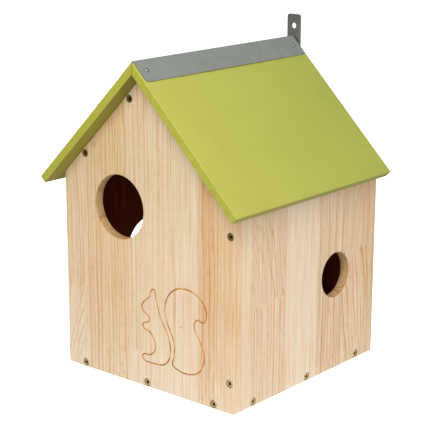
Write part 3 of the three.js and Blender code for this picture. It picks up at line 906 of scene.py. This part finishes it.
def ridge_cap():
    """The cap's flat blank, rounded at its corners, folded over the ridge, pressed in a little round
    each nail and sprung up a little between them."""
    low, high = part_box("ridge_cap")
    nails = [FASTENERS[n].translation for n in starting("cap_nail")]
    top = high.z - CAP_BEND
    bend = CAP_BEND - SHEET / 2
    arc = bend * PITCH
    straight = CAP_FLANGE - CAP_BEND
    reach = straight + arc
    corner_steps, flat_steps, bend_steps, columns = 6, 10, 4, 96
    stations = [
        reach - CAP_CORNER * (1 - math.sin(math.pi / 2 * i / corner_steps))
        for i in range(corner_steps, -1, -1)
    ]
    corner_end = stations[-1]
    stations += [arc + (corner_end - arc) * (1 - i / flat_steps) for i in range(1, flat_steps + 1)]
    stations += [arc * (1 - i / bend_steps) for i in range(1, bend_steps + 1)]
    stations += [-s for s in stations[-2::-1]]

    def folded(s, y, over):
        side = 1 if s >= 0 else -1
        angle = min(abs(s), arc) / bend
        beyond = max(abs(s) - arc, 0)
        normal = Vector((side * math.sin(angle), 0, math.cos(angle)))
        down = Vector((side * math.cos(angle), 0, -math.sin(angle)))
        point = Vector((0, y, top)) + normal * (bend + over) + down * beyond
        dent = sum(math.exp(-((point - nail).length / NAIL_DENT_REACH) ** 2) for nail in nails)
        between = math.sin(math.pi * (y - low.y) / (high.y - low.y)) ** 2
        uneven = 1 + 0.6 * noise.noise(Vector((side, y * 30, 0.3)))
        lift = CAP_LIFT * between * (beyond / straight) * uneven
        return point + normal * (lift - NAIL_DENT * dent)

    bm = bmesh.new()
    layers = []
    for over in (SHEET / 2, -SHEET / 2):
        rows = []
        for s in stations:
            short = max(abs(s) - (reach - CAP_CORNER), 0)
            inset = CAP_CORNER - math.sqrt(max(CAP_CORNER ** 2 - short ** 2, 0))
            start, end = low.y + inset, high.y - inset
            rows.append([
                bm.verts.new(folded(s, start + (end - start) * i / columns, over))
                for i in range(columns + 1)
            ])
        layers.append(rows)
    for rows in layers:
        for one, other in zip(rows, rows[1:]):
            for i in range(columns):
                bm.faces.new((one[i], one[i + 1], other[i + 1], other[i])).smooth = True
    rim_outer, rim_under = (
        rows[0] + [row[-1] for row in rows[1:]] + rows[-1][-2::-1] + [row[0] for row in rows[-2:0:-1]]
        for rows in layers
    )
    for cut_edge in bridge(bm, rim_outer, rim_under):
        for edge in cut_edge.edges:
            edge.smooth = False
    bmesh.ops.recalc_face_normals(bm, faces=bm.faces[:])
    made = piece_of("fine_ridge_cap", bm, galvanised)
    stand_in(made, "ridge_cap")


def rounded_rectangle(left, right, bottom, top, radius, segments=8):
    corners = [(right - radius, bottom + radius, -90), (right - radius, top - radius, 0),
               (left + radius, top - radius, 90), (left + radius, bottom + radius, 180)]
    return [
        (u + radius * math.cos(math.radians(start + 90 * i / segments)),
         v + radius * math.sin(math.radians(start + 90 * i / segments)))
        for u, v, start in corners for i in range(segments + 1)
    ]


def hanger_strip():
    low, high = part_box("hanger_strip")
    bm = bmesh.new()
    prism(bm, rounded_rectangle(low.x, high.x, low.z, high.z, STRIP_CORNER), low.y, high.y, from_front,
          SHEARED, 2)
    made = piece_of("fine_hanger_strip", bm, dark_zinc)
    bm = bmesh.new()
    round_hole(bm, OPENINGS["hanger_hole"], Y, STRIP_HOLE, low.y, high.y, SHEARED, 64)
    cut_sockets(bm, STRIP_SCREW, starting("hanger_screw"))
    carve(made, piece_of("strip_cutter", bm, dark_zinc))
    stand_in(made, "hanger_strip")


def turn_button():
    low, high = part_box("turn_button")
    bm = bmesh.new()
    prism(bm, rounded_rectangle(low.y, high.y, low.z, high.z, BUTTON_CORNER), low.x, high.x, from_side,
          BUTTON_EDGE, 2)
    made = piece_of("fine_turn_button", bm, dark_zinc)
    bm = bmesh.new()
    round_hole(bm, middle_of("turn_button_screw"), X, BUTTON_HOLE, low.x, high.x, BUTTON_RIM, 32)
    carve(made, piece_of("button_cutter", bm, dark_zinc))
    stand_in(made, "turn_button")


# ---- fasteners ----

def cross_recess(bm, width, depth, top):
    """A cross-shaped cutter that narrows downwards from top."""
    half, slot = width / 2, width * 0.16
    arm, plus = [(half, -slot), (half, slot), (slot, slot)], []
    for _ in range(4):
        plus += arm
        arm = [(-v, u) for u, v in arm]
    levels = [(top + MM, 1.0), (top, 1.0), (top - depth * 0.55, 0.72), (top - depth, 0.25)]
    rings = [[bm.verts.new((u * k, v * k, z)) for u, v in plus] for z, k in levels]
    for one, other in zip(rings, rings[1:]):
        bridge(bm, one, other)
    bm.faces.new(rings[0])
    bm.faces.new(rings[-1])
    bmesh.ops.recalc_face_normals(bm, faces=bm.faces[:])


def screw_piece(name, head, shank, length, material, recess_shade_material, raised=0.0):
    """A screw with its flat head at 0, or with a head that stands up from 0 by raised."""
    root = shank * 0.7
    bottom = -length + shank * 2.4
    if raised:
        thread_from = -length * 0.2
        crown = [(0, raised), (head * 0.55, raised * 0.94), (head * 0.85, raised * 0.6),
                 (head, raised * 0.15), (head, 0), (shank, 0)]
    else:
        thread_from = -length * 0.35
        crown = [(0, 0), (head - 0.3 * MM, 0), (head - 0.05 * MM, -0.12 * MM), (head, -0.3 * MM),
                 (head, -0.42 * MM), (shank, -0.4 * MM - (head - shank))]
    crown += [(shank, thread_from + MM), (root, thread_from)]
    steps = max(4, round((thread_from - bottom) / (THREAD_PITCH / 4)))
    thread = [(root, thread_from + (bottom - thread_from) * i / steps) for i in range(1, steps + 1)]

    def helix(radius, height, angle):
        """The thread's ridge, which rises from the root to the shank's radius once in a turn."""
        if not bottom + MM < height < thread_from - MM / 2:
            return radius
        phase = (height / THREAD_PITCH + angle / math.tau) % 1
        return radius + (shank - radius) * max(0.0, 1 - abs(phase - 0.5) * 4)

    bm = bmesh.new()
    turned(bm, crown + thread + [(root * 0.5, -length + shank * 0.8), (0, -length)],
           Matrix.Identity(4), 24, twist=helix)
    made = piece_of(name, bm, material)
    bm = bmesh.new()
    cross_recess(bm, head * 1.2, head * 0.55, raised)
    carve(made, piece_of("recess_cutter", bm, recess_shade_material))
    return made


def drive_all(prefixes, template):
    """A copy of the template in place of each CAD fastener, each turned by its own angle."""
    for node in starting(*prefixes):
        turn = Matrix.Rotation(RANDOM.uniform(0, math.tau), 4, "Z")
        made = bpy.data.objects.new("fine_" + node, template.data)
        bpy.context.scene.collection.objects.link(made)
        made.matrix_world = FASTENERS[node] @ turn
        stand_in(made, node)
    bpy.data.objects.remove(template)


def nail_piece(name, material):
    """A round nail whose domed head reaches 1 mm above 0 and down into its dent."""
    dome = [(0, 1), (0.35, 0.97), (0.7, 0.78), (0.92, 0.45), (1, 0.15)]
    bm = bmesh.new()
    turned(bm, [(NAIL_HEAD * r, MM * h) for r, h in dome] + [
        (NAIL_HEAD, -NAIL_DENT), (NAIL_SHANK, -NAIL_DENT), (NAIL_SHANK, -NAIL_LENGTH + 2 * NAIL_SHANK),
        (0, -NAIL_LENGTH)], Matrix.Identity(4), 32)
    return piece_of(name, bm, material)


def door_pins():
    for word in ("front", "back"):
        node = "door_pin_" + word
        low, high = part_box(node)
        radius, half = (high.x - low.x) / 2, (high.y - low.y) / 2
        end = [(0, half), (radius - PIN_CHAMFER, half), (radius, half - PIN_CHAMFER)]
        bm = bmesh.new()
        turned(bm, [(r, -h) for r, h in end] + end[::-1], matrix_along(Y, middle_of(node)), 32)
        made = piece_of("fine_" + node, bm, steel)
        stand_in(made, node)


green = painted()
galvanised = metal("galvanised_sheet", srgb(149, 153, 148), srgb(171, 175, 169), 0.66, 0.12)
nail_zinc = metal("nail_zinc", srgb(128, 130, 124), srgb(176, 178, 170), 0.32, 0.1)
dark_zinc = metal("dark_zinc", srgb(125, 125, 123), srgb(155, 155, 151), 0.5, 0.2)
yellow_zinc = metal("yellow_zinc", srgb(192, 174, 118), srgb(244, 228, 174), 0.34, 0.2)
# Painted shade: a darker copy of the screws' yellow zinc, for the screws in the roof's shade
zinc_in_painted_shade = metal("zinc_painted_shade", srgb(106, 92, 42), srgb(148, 132, 72), 0.4, 0.2)
# Painted shade: a near-black metal for the screws' cross recesses
recess_painted_shade = metal("recess_painted_shade", srgb(26, 22, 14), srgb(52, 44, 30), 0.6)
steel = metal("steel", srgb(150, 152, 154), srgb(190, 192, 194), 0.3)

front_panel()
back_panel()
right_side_panel()
cleaning_door()
floor_panel()
for side, word in ((-1, "left"), (1, "right")):
    roof_board(side, word)
    roof_batten(side, word, batten_woods[side])
ridge_cap()
hanger_strip()
turn_button()
door_pins()
drive_all(("front_screw_floor", "front_screw_edge_lower", "back_screw", "side_screw"),
          screw_piece("wood_screw", *WOOD_SCREW, yellow_zinc, recess_painted_shade))
# The upper front screws get the darker copy, as painted shade under the roof
drive_all(("front_screw_slope", "front_screw_edge_upper"),
          screw_piece("screw_painted_shade", *WOOD_SCREW, zinc_in_painted_shade, recess_painted_shade))
drive_all(("roof_screw",), screw_piece("roof_screw", *ROOF_SCREW, yellow_zinc, recess_painted_shade))
drive_all(("hanger_screw",), screw_piece("strip_screw", *STRIP_SCREW, dark_zinc, recess_painted_shade))
drive_all(("cap_nail",), nail_piece("cap_nail", nail_zinc))

button_screw = screw_piece(
    "fine_turn_button_screw", *BUTTON_SCREW, yellow_zinc, recess_painted_shade, BUTTON_SCREW_HEAD)
button_screw.matrix_world = driven("turn_button_screw", -X, BUTTON_SCREW[2])
stand_in(button_screw, "turn_button_screw")


# ---- studio ----

SURROUNDINGS = 0.24            # brightness of the even light from all sides
FLOOR_GREY = (0.72, 0.72, 0.72, 1.0)
FLOOR_PROFILE = [(0, 0), (8, 0), (9.2, 0.5), (9.5, 3.0)]    # radius and height
WHITE = (1.0, 1.0, 1.0, 1.0)


def studio_floor():
    """A plain pale floor that curves up far off. It looks white to the camera, and lights the object as
    pale card does. Its far rim is as bright as the surroundings that it hides."""
    bm = bmesh.new()
    turned(bm, FLOOR_PROFILE, Matrix.Identity(4), 96)
    s = Shader("studio_floor")
    seen = s.node("LightPath").outputs["Is Camera Ray"]
    rim = s.spread(s.dot(s.place(), Z), 100.0, 400.0, 0.0, SURROUNDINGS)
    for name, value in (("Base Color", FLOOR_GREY), ("Roughness", 0.9), ("Specular IOR Level", 0.0),
                        ("Emission Color", WHITE), ("Emission Strength", s.maths("MAXIMUM", seen, rim))):
        s.put(s.surface.inputs[name], value)
    made = piece_of("studio_floor", bm, s.material)


def softbox(name, place, target, size, power):
    """A rectangle of light at place that faces target, and that the camera doesn't see."""
    lamp = bpy.data.lights.new(name, "AREA")
    lamp.shape = "RECTANGLE"
    lamp.size, lamp.size_y = size
    lamp.energy = power
    made = bpy.data.objects.new(name, lamp)
    bpy.context.scene.collection.objects.link(made)
    made.location = place
    made.rotation_euler = (Vector(target) - Vector(place)).to_track_quat("-Z", "Y").to_euler()
    made.visible_camera = False


def surroundings(strength):
    """Even white light from all sides."""
    world = bpy.data.worlds.new("studio")
    bpy.context.scene.world = world
    world.use_nodes = True
    background = world.node_tree.nodes["Background"]
    background.inputs[0].default_value = WHITE
    background.inputs[1].default_value = strength


# The view: a long lens, a little above, 40 degrees round to the right
CAMERA_AIM = Vector((0.0090, -0.0253, 0.1870))
CAMERA_DISTANCE = 1.62
CAMERA_TURN = math.radians(40.11)
CAMERA_DOWN = math.radians(14.88)
CAMERA_ROLL = math.radians(0.20)
CAMERA_LENS = 113.94           # millimetres, on a sensor this wide
CAMERA_SENSOR = 36


def camera():
    """Looks at CAMERA_AIM, turned about it to the right and then down."""
    made = bpy.data.objects.new("camera", bpy.data.cameras.new("camera"))
    bpy.context.scene.collection.objects.link(made)
    turn = (Matrix.Rotation(CAMERA_TURN, 4, "Z") @ Matrix.Rotation(math.pi / 2 - CAMERA_DOWN, 4, "X")
            @ Matrix.Rotation(CAMERA_ROLL, 4, "Z"))
    made.matrix_world = Matrix.Translation(CAMERA_AIM) @ turn @ Matrix.Translation((0, 0, CAMERA_DISTANCE))
    made.data.lens = CAMERA_LENS
    made.data.sensor_width = CAMERA_SENSOR
    bpy.context.scene.camera = made


studio_floor()
surroundings(SURROUNDINGS)
softbox("key", (0.55, -1.15, 1.35), (0.05, -0.05, 0.25), (0.8, 0.6), 14.4)
softbox("low_key", (0.80, -1.70, 0.75), (0, -0.1, 0.2), (1.2, 0.8), 8.7)
softbox("right", (1.6, 0.1, 0.30), (0.1, 0, 0.10), (1.5, 0.6), 4.0)
softbox("right_high", (1.5, 0.1, 0.95), (0.1, 0, 0.15), (1.5, 0.6), 2.2)
softbox("back_top", (0.5, 1.6, 1.7), (0, 0, 0.35), (1.4, 0.8), 1.5)
softbox("top", (0.1, -0.1, 2.2), (0, 0, 0.35), (1.4, 1.4), 7.2)
softbox("top_right", (1.1, 0.0, 1.9), (0, 0, 0.35), (1.2, 1.2), 10.2)
softbox("left_back", (-1.7, 0.9, 1.0), (0, 0, 0.15), (1.6, 0.8), 13)
camera()
bpy.context.scene.view_settings.view_transform = "Standard"
